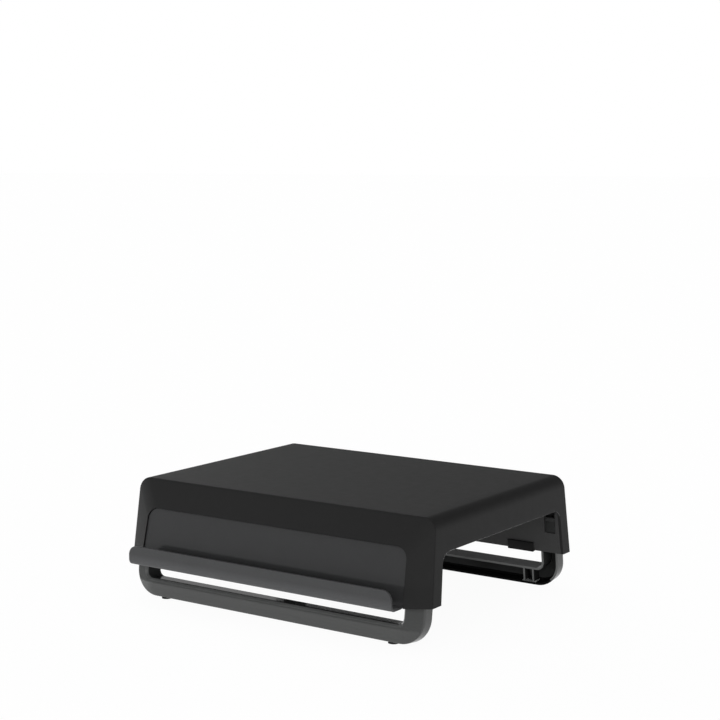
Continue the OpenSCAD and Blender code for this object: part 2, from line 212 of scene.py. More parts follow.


# One object from several closed meshes; doubles are merged, so collapsed rows become triangles. tone gives
# the shares that multiply the finish's colour, painted light and shade, by point, or by face where a second,
# dull finish is given:
# it takes the faces whose share is below 1
def makePiece(name, meshes, material, body, nodes, bevel=0.0, tone=None, dull=None):
    allPoints, allFaces = zip(*meshes)
    starts = np.cumsum([0] + [len(points) for points in allPoints])
    faces = np.concatenate([faces + start for faces, start in zip(allFaces, starts)])
    mesh = bpy.data.meshes.new(name)
    mesh.from_pydata(np.concatenate(allPoints).tolist(), [], faces.tolist())
    work = bmesh.new()
    work.from_mesh(mesh)
    bmesh.ops.remove_doubles(work, verts=work.verts, dist=meshing["mergeGap"])
    bmesh.ops.dissolve_degenerate(work, edges=work.edges, dist=meshing["tinyEdge"])
    bmesh.ops.recalc_face_normals(work, faces=work.faces)
    work.to_mesh(mesh)
    work.free()
    mesh.shade_smooth()
    if tone:
        place = valuesOf(mesh.polygons, "center", 3) if dull else valuesOf(mesh.vertices, "co", 3)
        shares = tone(place).astype(np.float32)
        kept = mesh.attributes.new("tone", "FLOAT", "FACE" if dull else "POINT")
        kept.data.foreach_set("value", shares)
    piece = bpy.data.objects.new(name, mesh)
    bpy.context.scene.collection.objects.link(piece)
    if bevel:
        edge = piece.modifiers.new("softEdges", "BEVEL")
        edge.width = bevel
        edge.segments = meshing["edgeFaces"]
        edge.limit_method = "ANGLE"
        edge.angle_limit = math.radians(meshing["sharpTurn"])
        edge.harden_normals = True
    mesh.materials.append(material)
    if dull:
        mesh.materials.append(dull)
        mesh.polygons.foreach_set("material_index", (shares < 1).astype(np.int32))
    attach(piece, body)
    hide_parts(*nodes)
    return piece


# What the moulded plastics share: the noise's range, the sizes of specks and gloss spots as shares of the
# look's own, how far the gloss changes and how deep the grain is for its size
moulding = dict(noiseLow=0.3, noiseHigh=0.7, speckSize=2.2, glossSize=0.35, glossChange=0.015,
                grainDepth=0.12)


# New material with its nodes and links
def newMaterial(name):
    material = bpy.data.materials.new(name)
    material.use_nodes = True
    return material, material.node_tree.nodes, material.node_tree.links


# Math node that joins two sockets by its operation
def joined(nodes, links, operation, first, second):
    node = nodes.new("ShaderNodeMath")
    node.operation = operation
    links.new(first, node.inputs[0])
    links.new(second, node.inputs[1])
    return node.outputs[0]


# Moulded plastic: a soft mottle in the colour, a fine moulded grain in the bump and a little change of gloss
def mouldedPlastic(name, look):
    material, nodes, links = newMaterial(name)
    shader = nodes["Principled BSDF"]
    shader.inputs["Specular IOR Level"].default_value = look["specular"]
    place = nodes.new("ShaderNodeTexCoord")

    def noise(size, detail, roughness):
        node = nodes.new("ShaderNodeTexNoise")
        node.inputs["Scale"].default_value = 1 / size
        node.inputs["Detail"].default_value = detail
        node.inputs["Roughness"].default_value = roughness
        links.new(place.outputs["Object"], node.inputs["Vector"])
        return node.outputs["Fac"]

    def spread(value, toLow, toHigh):
        node = nodes.new("ShaderNodeMapRange")
        node.inputs["From Min"].default_value = moulding["noiseLow"]
        node.inputs["From Max"].default_value = moulding["noiseHigh"]
        node.inputs["To Min"].default_value = toLow
        node.inputs["To Max"].default_value = toHigh
        links.new(value, node.inputs["Value"])
        return node.outputs["Result"]

    mottle = noise(look["mottleSize"], detail=3.0, roughness=0.55)
    speck = noise(look["grainSize"] * moulding["speckSize"], detail=2.0, roughness=0.6)
    shade = nodes.new("ShaderNodeMix")
    shade.data_type = "RGBA"
    shade.blend_type = "MULTIPLY"
    shade.inputs["Factor"].default_value = 1.0
    shade.inputs["A"].default_value = (*look["colour"], 1)
    mottleTone = spread(mottle, 1 - look["mottle"], 1 + look["mottle"])
    speckTone = spread(speck, 1 - look["speck"], 1 + look["speck"])
    tone = joined(nodes, links, "MULTIPLY", mottleTone, speckTone)
    # a toned finish multiplies its colour by the piece's tone, which is painted light and shade
    if "toned" in look:
        own = nodes.new("ShaderNodeAttribute")
        own.attribute_name = "tone"
        tone = joined(nodes, links, "MULTIPLY", tone, own.outputs["Fac"])
    grey = nodes.new("ShaderNodeCombineColor")
    for channel in ("Red", "Green", "Blue"):
        links.new(tone, grey.inputs[channel])
    links.new(grey.outputs["Color"], shade.inputs["B"])
    links.new(shade.outputs["Result"], shader.inputs["Base Color"])
    gloss = noise(look["mottleSize"] * moulding["glossSize"], detail=4.0, roughness=0.6)
    rough, change = look["rough"], moulding["glossChange"]
    links.new(spread(gloss, rough - change, rough + change), shader.inputs["Roughness"])
    grain = noise(look["grainSize"], detail=2.0, roughness=0.5)
    bump = nodes.new("ShaderNodeBump")
    bump.inputs["Strength"].default_value = look["grain"]
    bump.inputs["Distance"].default_value = look["grainSize"] * moulding["grainDepth"]
    links.new(grain, bump.inputs["Height"])
    links.new(bump.outputs["Normal"], shader.inputs["Normal"])
    return material


# Plated steel of the screws: flecks is the noise's scale, fleckFlat how much flatter it is along Z
plating = dict(colour=(0.50, 0.50, 0.51), dark=0.8, light=1.15, flecks=2500, fleckFlat=6, detail=3,
               roughLow=0.28, roughHigh=0.46, bump=0.15, bumpDepth=0.05 * mm)


# Plated steel: faint flat flecks in colour, gloss and bump
def platedSteel(name):
    material, nodes, links = newMaterial(name)
    shader = nodes["Principled BSDF"]
    shader.inputs["Metallic"].default_value = 1.0
    place = nodes.new("ShaderNodeTexCoord")
    stretch = nodes.new("ShaderNodeMapping")
    stretch.inputs["Scale"].default_value = (1, 1, plating["fleckFlat"])
    links.new(place.outputs["Object"], stretch.inputs["Vector"])
    streak = nodes.new("ShaderNodeTexNoise")
    streak.inputs["Scale"].default_value = plating["flecks"]
    streak.inputs["Detail"].default_value = plating["detail"]
    links.new(stretch.outputs["Vector"], streak.inputs["Vector"])
    tint = nodes.new("ShaderNodeValToRGB")
    tint.color_ramp.elements[0].color = (*[c * plating["dark"] for c in plating["colour"]], 1)
    tint.color_ramp.elements[1].color = (*[c * plating["light"] for c in plating["colour"]], 1)
    links.new(streak.outputs["Fac"], tint.inputs["Fac"])
    links.new(tint.outputs["Color"], shader.inputs["Base Color"])
    gloss = nodes.new("ShaderNodeMapRange")
    gloss.inputs["To Min"].default_value = plating["roughLow"]
    gloss.inputs["To Max"].default_value = plating["roughHigh"]
    links.new(streak.outputs["Fac"], gloss.inputs["Value"])
    links.new(gloss.outputs["Result"], shader.inputs["Roughness"])
    bump = nodes.new("ShaderNodeBump")
    bump.inputs["Strength"].default_value = plating["bump"]
    bump.inputs["Distance"].default_value = plating["bumpDepth"]
    links.new(streak.outputs["Fac"], bump.inputs["Height"])
    links.new(bump.outputs["Normal"], shader.inputs["Normal"])
    return material


# Finishes: sizes of the mottle and the grain, and how strong the mottle, the specks and the grain are;
# a toned one follows its piece's tone, which paints light and shade into its colour, and the dull foot has
# hardly any gloss
finish = dict(
    shell=dict(colour=(0.0088, 0.0088, 0.0089), rough=0.62, specular=0.26, mottleSize=30 * mm, mottle=0.02,
               grainSize=0.55 * mm, speck=0.06, grain=0.30),
    # painted highlight: a light grey on the arch edges' bevels, standing in for their reflection of the
    # floor
    edgeHighlight=dict(colour=(0.75, 0.75, 0.75), rough=0.5, specular=0.4, mottleSize=8 * mm, mottle=0.2,
              grainSize=0.5 * mm, speck=0.1, grain=0.2, toned=True),
    cover=dict(colour=(0.045, 0.045, 0.045), rough=0.55, specular=0.3, mottleSize=30 * mm, mottle=0.02,
               grainSize=0.55 * mm, speck=0.05, grain=0.25),
    tray=dict(colour=(0.072, 0.073, 0.075), rough=0.48, specular=0.12, mottleSize=25 * mm, mottle=0.02,
              grainSize=0.5 * mm, speck=0.04, grain=0.28, toned=True),
    foot=dict(colour=(0.090, 0.092, 0.091), rough=0.18, specular=0.26, mottleSize=25 * mm, mottle=0.02,
              grainSize=0.5 * mm, speck=0.04, grain=0.28, toned=True),
    lock=dict(colour=(0.006, 0.006, 0.006), rough=0.42, specular=0.12, mottleSize=12 * mm, mottle=0.03,
              grainSize=0.4 * mm, speck=0.05, grain=0.25),
    pad=dict(colour=(0.016, 0.016, 0.016), rough=0.78, specular=0.2, mottleSize=6 * mm, mottle=0.08,
             grainSize=0.3 * mm, speck=0.12, grain=0.5),
    guide=dict(colour=(0.05, 0.05, 0.05), rough=0.45, specular=0.3, mottleSize=15 * mm, mottle=0.02,
               grainSize=0.4 * mm, speck=0.02, grain=0.15),
)
finish["dullFoot"] = dict(finish["foot"], specular=0.008, rough=0.06)
plastics = {key: mouldedPlastic(key + "Plastic", look) for key, look in finish.items()}
steel = platedSteel("screwSteel")
print("finishes made:", len(plastics) + 1)


# Arched outline from its lower left end, up, over and down to its lower right end, as (x, z) points:
# straight sides that lean in by side, round corners of radius r tangent to them, and a flat top.
# rise gives the heights of the points on a straight side, as shares of that side
def archedLine(half, height, r, side, rise, arcCount, topCount):
    centreX = half - r / math.cos(side) - (height - r) * math.tan(side)
    sideTop = height - r + r * math.sin(side)
    z = rise * sideTop
    left = np.stack([z * math.tan(side) - half, z], axis=-1)
    angle = np.linspace(math.pi - side, math.pi / 2, arcCount)[1:]
    corner = np.stack([r * np.cos(angle) - centreX, r * np.sin(angle) + height - r], axis=-1)
    top = np.linspace(-centreX, centreX, topCount)[1:-1]
    over = np.stack([top, np.full_like(top, height)], axis=-1)
    up = np.concatenate([left, corner])
    return np.concatenate([up, over, up[::-1] * [-1, 1]])


# Top shell: one skin outside and one inside, both on a grid. The rows follow the arched outline from left to
# right. The columns go from the tray's pocket over the front slope, the top or a side, and the rear slope to
# the middle of the rear plate
skin = dict(
    legRows=7, archRows=11, sideRows=6, cornerRows=15, topRows=31,
    pocketCols=3, slopeCols=9, edgeCols=6, legCols=8, midCols=25, plateCols=8,
    edge=1.3 * mm, innerEdge=0.6 * mm, pocket=4.0 * mm, returnWall=1.8 * mm, bevel=0.35 * mm,
    # the painted highlight on the arch edges: its width, the band at the sides it keeps to, and its share at
    # the rear
    edgeHighlight=1.3 * mm, highlightBand=7.5 * mm, highlightLow=0.12,
)


def topShell():
    archHalf = endDepth - stand["legDepth"] / math.cos(lean)
    archR, archTop = stand["archRadius"], stand["archHeight"]
    archX = archHalf - archR / math.cos(lean) - (archTop - archR) * math.tan(lean)
    tangent = archTop - archR + archR * math.sin(lean)
    legZ = np.linspace(0, tangent, skin["legRows"])
    turnA = np.linspace(lean, math.pi / 2, skin["archRows"])[1:]
    archZ = archTop - archR + archR * np.sin(turnA)
    edgeY = np.concatenate([archHalf - legZ * math.tan(lean), archX + archR * np.cos(turnA)])
    r, side = stand["topRadius"], sideLean
    sideTop = stand["height"] - r + r * math.sin(side)
    upZ = np.linspace(archTop, sideTop, skin["sideRows"])[1:]
    rise = np.concatenate([legZ, archZ, upZ]) / sideTop
    legCount = len(edgeY)

    def outline(inset):
        half = stand["width"] / 2 - inset / math.cos(side)
        return archedLine(half, stand["height"] - inset, r - inset, side, rise, skin["cornerRows"],
                          skin["topRows"])

    def rimLine(grow):
        return archedLine(stand["rimWidth"] / 2 + grow, rimLength + grow, stand["rimRadius"] + grow, side,
                          rise, skin["cornerRows"], skin["topRows"])

    # Half depth of the arch's edge for each row up to its top; higher rows keep the depth it ends at
    legEnd = np.concatenate([edgeY, np.full(len(outline(0)) - 2 * legCount, archX), edgeY[::-1]])

    # A rim point at a depth behind the rim's plane, in the shell's frame
    def rimAt(grow, depth, rear):
        line = rimLine(grow)
        return leaning(pointsOf(line[:, 0], depth, line[:, 1]), rimLean, rimDepth, rear)

    # One skin: inset is its depth below the outer surface, edge the softness of its long edges
    def skinGrid(inset, edge, grow, rimInset):
        line = outline(inset)
        faceY = endDepth - inset / math.cos(lean) - line[:, 1] * math.tan(lean)
        corner = pointsOf(line[:, 0], -faceY, line[:, 1])
        rim = rimAt(grow, rimInset, False)
        toRim = rim - corner
        toRim /= np.linalg.norm(toRim, axis=1)[:, None]
        onSlope = corner + toRim * edge
        onSide = corner + np.array([0, edge, 0])
        archEdge = pointsOf(line[:, 0], -legEnd, line[:, 1])
        flip = np.array([1, -1, 1])
        front = [
            run(rimAt(grow, skin["pocket"], False), rim, skin["pocketCols"], last=False),
            run(rim, onSlope, skin["slopeCols"], last=False),
            rounded(onSlope, corner, onSide, skin["edgeCols"])[:, :-1],
            run(onSide, archEdge, skin["legCols"], last=False),
        ]
        middle = run(archEdge, archEdge * flip, skin["midCols"])
        centre = leaning(np.array([[0.0, rimInset, 0.0]]), rimLean, rimDepth, True)
        plate = run(rimAt(grow, rimInset, True), np.repeat(centre, len(line), axis=0), skin["plateCols"])
        back = [
            run(archEdge * flip, onSide * flip, skin["legCols"])[:, 1:],
            rounded(onSide * flip, corner * flip, onSlope * flip, skin["edgeCols"])[:, 1:],
            run(onSlope * flip, rimAt(grow, rimInset, True), skin["slopeCols"])[:, 1:],
            plate[:, 1:],
        ]
        first = sum(part.shape[1] for part in front)
        return toDesk(np.concatenate(front + [middle] + back, axis=1)), first

    outer, first = skinGrid(0, skin["edge"], 0, 0)
    inner = skinGrid(stand["wall"], skin["innerEdge"], skin["returnWall"], stand["wall"])[0]
    keep = np.ones((outer.shape[0] - 1, outer.shape[1] - 1), bool)
    underArch = slice(first, first + skin["midCols"] - 1)
    keep[:legCount - 1, underArch] = False
    keep[1 - legCount:, underArch] = False
    return wallMesh(outer, inner, keep)


# Upper edges of the arches, out at the sides, with half of the arch's corners: the edges that get the
# painted highlight
def archEdges(middle):
    atSide = np.abs(middle[:, 0]) > stand["width"] / 2 - skin["highlightBand"]
    inArch = np.abs(middle[:, 1] - shellY) < endDepth - stand["legDepth"]
    height = middle[:, 2] - lift - stand["archHeight"]
    return atSide & inArch & (height < skin["edgeHighlight"]) & (height > -stand["archRadius"] / 2)


# The painted highlight on the arch edges is lightest at the front: tone falls evenly with Y, from 1 there to
# its low share at the rear
def paintedHighlightTone(points):
    share = np.clip((points[:, 1] - shellY) / stand["topDepth"] + 0.5, 0, 1)
    return 1 - (1 - skin["highlightLow"]) * share


# The shell's tone and the light grey bevel on its upper arch edges are a painted highlight
shell = makePiece("topShell", [topShell()], plastics["shell"], "platform", ["top_shell"],
                  skin["bevel"], tone=paintedHighlightTone)
paintedHighlightEdges(shell, skin["edgeHighlight"], archEdges, plastics["edgeHighlight"])
print("top shell made")

# Inside of the shell: ribs under the top, webs and posts for the inner walls' screws, ledge behind the tray.
# Places of ribs and posts are in millimetres; cross ribs stay a share ribShort of topRadius off the sides
inside = dict(
    soft=0.5 * mm, ribT=2 * mm, longDrop=14 * mm, crossDrop=3 * mm, ribShort=0.35,
    ribXs=(-120, -40, 40, 120), ribYs=(-70, 0, 70),
    postXs=(-125, -45, 45, 125), postZ=62 * mm, postR=4 * mm, holeR=1.45 * mm, holeFloor=2 * mm,
    webT=3 * mm, webGap=0.3 * mm, coverY=14.2 * mm,
    ledgeW=8 * mm, ledgeT=2 * mm, ledgeFrom=24 * mm, ledgeGap=0.05 * mm, ledgeLeastR=3 * mm,
    ledgeRows=8, ledgeArcRows=9, ledgeTopRows=21, ledgeCols=4,
)


def shellInside():
    ceiling = stand["height"] - stand["wall"] + inside["soft"]
    longLow = stand["height"] - stand["wall"] - inside["longDrop"]
    crossLow = stand["height"] - stand["wall"] - inside["crossDrop"]
    reach = stand["topDepth"] / 2 - stand["legDepth"]
    halfT = inside["ribT"] / 2
    wide = stand["width"] / 2 - stand["wall"] - ceiling * math.tan(sideLean)
    wide -= stand["topRadius"] * inside["ribShort"]
    ribs = [([x * mm - halfT, -reach, longLow], [x * mm + halfT, reach, ceiling]) for x in inside["ribXs"]]
    ribs += [([-wide, y * mm - halfT, crossLow], [wide, y * mm + halfT, ceiling]) for y in inside["ribYs"]]
    meshes = []
    for lowCorner, highCorner in ribs:
        points, faces = softBlock(lowCorner, highCorner, inside["soft"])
        meshes.append((toDesk(points), faces))
    webLow, webHigh = inside["postZ"] + inside["postR"] / 2, ceiling / math.cos(lean)
    webEnd = inside["coverY"] - inside["webGap"]
    postEnd = inside["coverY"] - stand["wall"]
    postR, holeR, holeFloor = inside["postR"], inside["holeR"], inside["holeFloor"]
    for rear in (False, True):
        for x in inside["postXs"]:
            web = softBlock([x * mm - inside["webT"] / 2, stand["wall"], webLow],
                            [x * mm + inside["webT"] / 2, webEnd, webHigh], inside["soft"])
            meshes.append((onEnd(web[0], rear), web[1]))
            post, faces = turnedMesh([(0, 0), (postR, 0), (postR, postEnd), (holeR, postEnd),
                                      (holeR, holeFloor), (0, holeFloor)])
            turned = np.stack([post[..., 0] + x * mm, post[..., 2] + stand["wall"],
                               post[..., 1] + inside["postZ"]], axis=-1)
            meshes.append((onEnd(turned, rear).reshape(-1, 3), faces))
    meshes.append(trayLedge())
    return meshes


# Ledge: a flat band that follows the upper part of the pocket's outline, outer edge to inner edge
def trayLedge():
    band = []
    for grow in (skin["returnWall"], -inside["ledgeW"]):
        radius = max(stand["rimRadius"] + grow, inside["ledgeLeastR"])
        sideTop = rimLength + grow - radius * (1 - math.sin(sideLean))
        rise = np.linspace(inside["ledgeFrom"] / sideTop, 1, inside["ledgeRows"])
        band.append(archedLine(stand["rimWidth"] / 2 + grow, rimLength + grow, radius, sideLean, rise,
                               inside["ledgeArcRows"], inside["ledgeTopRows"]))
    flat = run(band[0], band[1], inside["ledgeCols"])
    skins = [onRim(pointsOf(flat[..., 0], skin["pocket"] + depth, flat[..., 1]))
             for depth in (inside["ledgeGap"], inside["ledgeT"])]
    return wallMesh(skins[0], skins[1])


makePiece("shellInside", shellInside(), plastics["shell"], "platform", ["top_shell"])
print("ribs, posts and ledge made")

# Device tray: a sheet on a grid, its underside level with the shell's lower edge. The rows go from the top
# edge of the panel down its face, round the bend, along the floor and up the lip; the columns go across,
# from 1 to -1 times the row's half width
tray = dict(
    thick=2.4 * mm, panelSet=1.6 * mm, gap=0.2 * mm, panelRadius=11.7 * mm, bend=6.5 * mm,
    lipReach=18.9 * mm, lipTop=20.8 * mm, lipWidth=330 * mm, lipRadius=10 * mm, lipBend=3.5 * mm,
    cols=73, cornerRows=12, panelRows=9, bendRows=12, lipBendRows=10, lipRows=5, bevel=0.5 * mm,
    # painted shade of the panel and floor and how far it reaches, then the height and strength of the
    # painted highlight on the lip's lower edge
    panelShade=0.54, shadeReach=0.5, highlightHeight=12 * mm, lipHighlight=0.8,
)


def deviceTray():
    thick, setBack = tray["thick"], tray["panelSet"] / math.cos(rimLean)
    lipY = -rimDepth - tray["lipReach"]
    bendZ = thick + tray["bend"]
    bendY = -rimDepth + setBack + bendZ * math.tan(rimLean) - tray["bend"] / math.cos(rimLean)
    lipCentre = np.array([lipY + thick + tray["lipBend"], thick + tray["lipBend"]])
    panelTop = rimLength - tray["gap"]
    panelR = tray["panelRadius"]
    # Heights along the panel, in its own plane, from its top edge down: round corners, then straight sides
    cornerA = np.linspace(math.pi / 2, 0, tray["cornerRows"])
    bendTop = (bendZ - tray["bend"] * math.sin(rimLean)) / math.cos(rimLean)
    panelZ = np.concatenate([panelTop - panelR + panelR * np.sin(cornerA),
                             np.linspace(panelTop - panelR, bendTop, tray["panelRows"])[1:-1]])
    sideIn = np.concatenate([panelR - panelR * np.cos(cornerA), np.zeros(len(panelZ) - len(cornerA))])
    panelHalf = stand["rimWidth"] / 2 - tray["gap"] - panelZ * math.tan(sideLean) - sideIn
    bendA = np.linspace(-rimLean, -math.pi / 2, tray["bendRows"])
    lipA = np.linspace(-math.pi / 2, -math.pi, tray["lipBendRows"])
    lipCornerA = np.linspace(0, math.pi / 2, tray["cornerRows"])
    lipR = tray["lipRadius"]
    lipSide = np.linspace(lipCentre[1], tray["lipTop"] - lipR, tray["lipRows"])[1:-1]
    lipZ = np.concatenate([lipSide, tray["lipTop"] - lipR + lipR * np.sin(lipCornerA)])
    lipIn = np.concatenate([np.zeros_like(lipSide), lipR - lipR * np.cos(lipCornerA)])

    # The sheet's section at a depth behind its front face, as (Y, Z) points: straight panel and lip, and
    # bends of centre + r (cos a, sin a)
    def section(depth):
        panel = leaning(pointsOf(0, tray["panelSet"] + depth, panelZ), rimLean, rimDepth, False)[:, 1:]
        bendR = tray["bend"] + depth
        curve = np.stack([bendY + bendR * np.cos(bendA), bendZ + bendR * np.sin(bendA)], axis=-1)
        turn = lipCentre + (tray["lipBend"] + depth) * np.stack([np.cos(lipA), np.sin(lipA)], axis=-1)
        lip = np.stack([np.full_like(lipZ, lipY + thick - depth), lipZ], axis=-1)
        return np.concatenate([panel, curve, turn, lip])

    low = stand["rimWidth"] / 2 - tray["gap"]
    half = np.concatenate([panelHalf, np.full(len(bendA), low),
                           np.full(len(lipA), tray["lipWidth"] / 2), tray["lipWidth"] / 2 - lipIn])
    across = np.linspace(1, -1, tray["cols"])
    skins = []
    for depth in (0.0, thick):
        line = section(depth)
        skins.append(toDesk(pointsOf(half[:, None] * across, line[:, :1], line[:, 1:])))
    return wallMesh(skins[0], skins[1])


# Painted shade and highlight on the tray: the panel and the floor are painted darker than the lip, as shade:
# tone falls from 1 on the lip to the panel's shade share behind it, as 3 t^2 - 2 t^3 over the reach share of
# lipReach. The lip's lower edge is painted lighter, a painted highlight
def trayShadeAndHighlight(points):
    start = shellY - rimDepth - tray["lipReach"] + tray["thick"]
    share = np.clip((points[:, 1] - start) / (tray["lipReach"] * tray["shadeReach"]), 0, 1)
    dark = 1 - (1 - tray["panelShade"]) * share * share * (3 - 2 * share)
    low = np.clip(1 - (points[:, 2] - lift) / tray["highlightHeight"], 0, 1)
    return dark * (1 + tray["lipHighlight"] * low * (1 - share))


makePiece("deviceTray", [deviceTray()], plastics["tray"], "platform", ["device_tray"], tray["bevel"],
          tone=trayShadeAndHighlight)
print("tray made")

# Feet: a channel profile carried along the loop's outer edge. The profile is given by how far it lies inside
# that edge and by its depth behind the leaning plane; above the shoulder the tongues have a plainer one.
# notchZ is in millimetres
foot = dict(
    half=181.8 * mm, drop=38.8 * mm, band=19.9 * mm, cornerR=27 * mm, faceY=0.7 * mm, backY=13.8 * mm,
    swell=8.5 * mm, chamfer=2.8 * mm, wall=2.5 * mm, shoulder=3 * mm, tongueY=4 * mm, tongueTop=37.2 * mm,
    tongueCut=1.2 * mm, tongueInCut=1 * mm, rimBack=2 * mm, notchY=11.7 * mm,
    notchZ=((19.6, 25.4), (3.6, 9.4)), padX=144.5 * mm,
    edge=1.3 * mm, rimEdge=0.7 * mm, chamferEdge=0.9 * mm, inEdge=0.5 * mm, inRimEdge=0.4 * mm,
    notchEdge=0.05 * mm, bevel=0.5 * mm, profileCols=(5, 9, 3, 6, 3), uprightRows=5, arcRows=16, barRows=41,
)


def footProfiles():
    band, wall, backY, notchY = foot["band"], foot["wall"], foot["backY"], foot["notchY"]
    rimIn, rimY = band - foot["chamfer"], foot["faceY"] - foot["swell"]
    slope = np.array([rimIn, rimY - foot["faceY"]])
    slope /= np.linalg.norm(slope)
    # The inside of the face lies one wall behind it: a line through start, parallel to the face
    start = np.array([0, foot["faceY"]]) + wall * np.array([-slope[1], slope[0]])

    def faceAt(n):
        return start[1] + (n - start[0]) * slope[1] / slope[0]

    tongueY = foot["tongueY"]
    inBack = band - wall
    cut, inCut = foot["tongueCut"], foot["tongueInCut"]
    radii = (foot["edge"], foot["rimEdge"], foot["chamferEdge"], foot["notchEdge"])
    inRadii = (foot["inEdge"], foot["inRimEdge"], foot["inRimEdge"], foot["notchEdge"])
    loopOut = [(0, backY), (0, foot["faceY"]), (rimIn, rimY), (band, rimY + foot["chamfer"]), (band, notchY),
               (band, backY)]
    loopIn = [(wall, backY), (wall, faceAt(wall)), (inBack, faceAt(inBack)),
              (inBack, faceAt(inBack) + foot["rimBack"]), (inBack, notchY), (inBack, backY)]
    tongueOut = [(0, backY), (0, tongueY), (band - cut, tongueY), (band, tongueY + cut), (band, notchY),
                 (band, backY)]
    tongueIn = [(wall, backY), (wall, tongueY + wall), (inBack - inCut, tongueY + wall),
                (inBack, tongueY + wall + inCut), (inBack, notchY), (inBack, backY)]
    return [softPath(corners, r, foot["profileCols"]) for corners, r in
            ((loopOut, radii), (tongueOut, radii), (loopIn, inRadii), (tongueIn, inRadii))]


# A foot's grid, in the leaning plane: P(row, col) = edge(row) + n(col) inward(row), at the depth y(col)
def loopFoot(rear):
    loopOut, tongueOut, loopIn, tongueIn = footProfiles()
    half, low, r = foot["half"], -foot["drop"], foot["cornerR"]
    notchLevels = sorted((z * mm for pair in foot["notchZ"] for z in pair), reverse=True)
    tongueZ = np.array([foot["tongueTop"], *notchLevels, foot["shoulder"]])
    upright = np.linspace(foot["shoulder"], low + r, foot["uprightRows"])
    angle = np.linspace(math.pi, 1.5 * math.pi, foot["arcRows"])[1:]
    bar = np.linspace(r - half, 0, (foot["barRows"] + 1) // 2)[1:]

    # The loop's outer edge and its inward direction for each row: half of it, then its mirror image
    def edgeLine(shoulderZ):
        tongue = np.concatenate([tongueZ[:-1], [shoulderZ]])
        leg = np.concatenate([[shoulderZ], upright[1:]])
        straight = np.concatenate([tongue, leg])
        place = np.concatenate([
            np.stack([np.full_like(straight, -half), straight], axis=-1),
            np.stack([r - half + r * np.cos(angle), low + r + r * np.sin(angle)], axis=-1),
            np.stack([bar, np.full_like(bar, low)], axis=-1)])
        inward = np.concatenate([
            np.tile([1.0, 0.0], (len(straight), 1)), -np.stack([np.cos(angle), np.sin(angle)], axis=-1),
            np.tile([0.0, 1.0], (len(bar), 1))])
        return (np.concatenate([place, place[-2::-1] * [-1, 1]]),
                np.concatenate([inward, inward[-2::-1] * [-1, 1]]))

    def skinGrid(loop, tongue, shoulderZ):
        place, inward = edgeLine(shoulderZ)
        rows = len(place)
        isTongue = np.zeros(rows, bool)
        isTongue[:len(tongueZ)] = True
        isTongue[rows - len(tongueZ):] = True
        profile = np.where(isTongue[:, None, None], tongue, loop)
        flat = place[:, None] + profile[..., :1] * inward[:, None]
        return onEnd(pointsOf(flat[..., 0], profile[..., 1], flat[..., 1]), rear)

    outer = skinGrid(loopOut, tongueOut, foot["shoulder"])
    inner = skinGrid(loopIn, tongueIn, foot["shoulder"] - foot["wall"])
    keep = np.ones((outer.shape[0] - 1, outer.shape[1] - 1), bool)
    # The notches are the second and fourth rows of each tongue, at the end of the profile
    for row in (1, 3):
        keep[[row, len(keep) - 1 - row], 1 - foot["profileCols"][-1]:] = False
    return wallMesh(outer, inner, keep)


# Ribs and seats for the pads, and the cap and catch on top of each tongue. A lap is how far a block goes
# into a wall, and a value ending in Short how far it stays behind the edge before it
detail = dict(
    soft=0.35 * mm, lap=0.5 * mm, ribGap=8.8 * mm, ribT=2.2 * mm, ribFrom=1.5 * mm, ribLap=0.4 * mm,
    ribShort=0.3 * mm, seatW=16.8 * mm, seatT=0.8 * mm, seatShort=0.5 * mm, capShort=0.1 * mm,
    catchX=175 * mm, catchW=12 * mm, catchH=12.4 * mm, catchRise=4.2 * mm, catchY=15.3 * mm,
    catchLap=2.5 * mm, riseLap=1 * mm, riseShort=0.15 * mm,
)


def footDetails(rear):
    backY, wall, low = foot["backY"], foot["wall"], foot["wall"] - foot["drop"]
    lap, ribLap, top = detail["lap"], detail["ribLap"], foot["tongueTop"]
    halfRib, halfSeat, halfCatch = detail["ribT"] / 2, detail["seatW"] / 2, detail["catchW"] / 2
    ribTop = foot["band"] - foot["drop"] - wall + ribLap
    catchFrom = backY - detail["catchLap"]
    blocks = []
    for side in (-1, 1):
        x = side * foot["padX"]
        for step in (-1, 1):
            ribX = x + step * (detail["ribGap"] + detail["ribT"]) / 2
            blocks.append(([ribX - halfRib, detail["ribFrom"], low - ribLap],
                           [ribX + halfRib, backY - detail["ribShort"], ribTop]))
        blocks.append(([x - halfSeat, foot["faceY"] + wall, low - lap],
                       [x + halfSeat, backY - detail["seatShort"], low + detail["seatT"]]))
        inX = side * (foot["half"] - foot["band"] + wall - lap)
        outX = side * (foot["half"] - wall + lap)
        blocks.append(([inX, foot["tongueY"] + wall - lap, top - wall],
                       [outX, backY - detail["capShort"], top]))
        catchX = side * detail["catchX"]
        blocks.append(([catchX - halfCatch, catchFrom, top - detail["catchH"]],
                       [catchX + halfCatch, detail["catchY"], top]))
        blocks.append(([catchX - halfCatch, catchFrom, top - detail["riseLap"]],
                       [catchX + halfCatch, detail["catchY"] - detail["riseShort"],
                        top + detail["catchRise"]]))
    meshes = []
    for lowCorner, highCorner in blocks:
        points, faces = softBlock(lowCorner, highCorner, detail["soft"])
        meshes.append((onEnd(points, rear), faces))
    return meshes


# Depth y behind an end's leaning plane and height z along it, for points in the desk's frame:
# y = back cos - up sin, z = back sin + up cos
def inPlane(points, rear):
    ahead, up = points[:, 1] - shellY, points[:, 2] - lift
    back = (-ahead if rear else ahead) + endDepth
    return back * math.cos(lean) - up * math.sin(lean), back * math.sin(lean) + up * math.cos(lean)


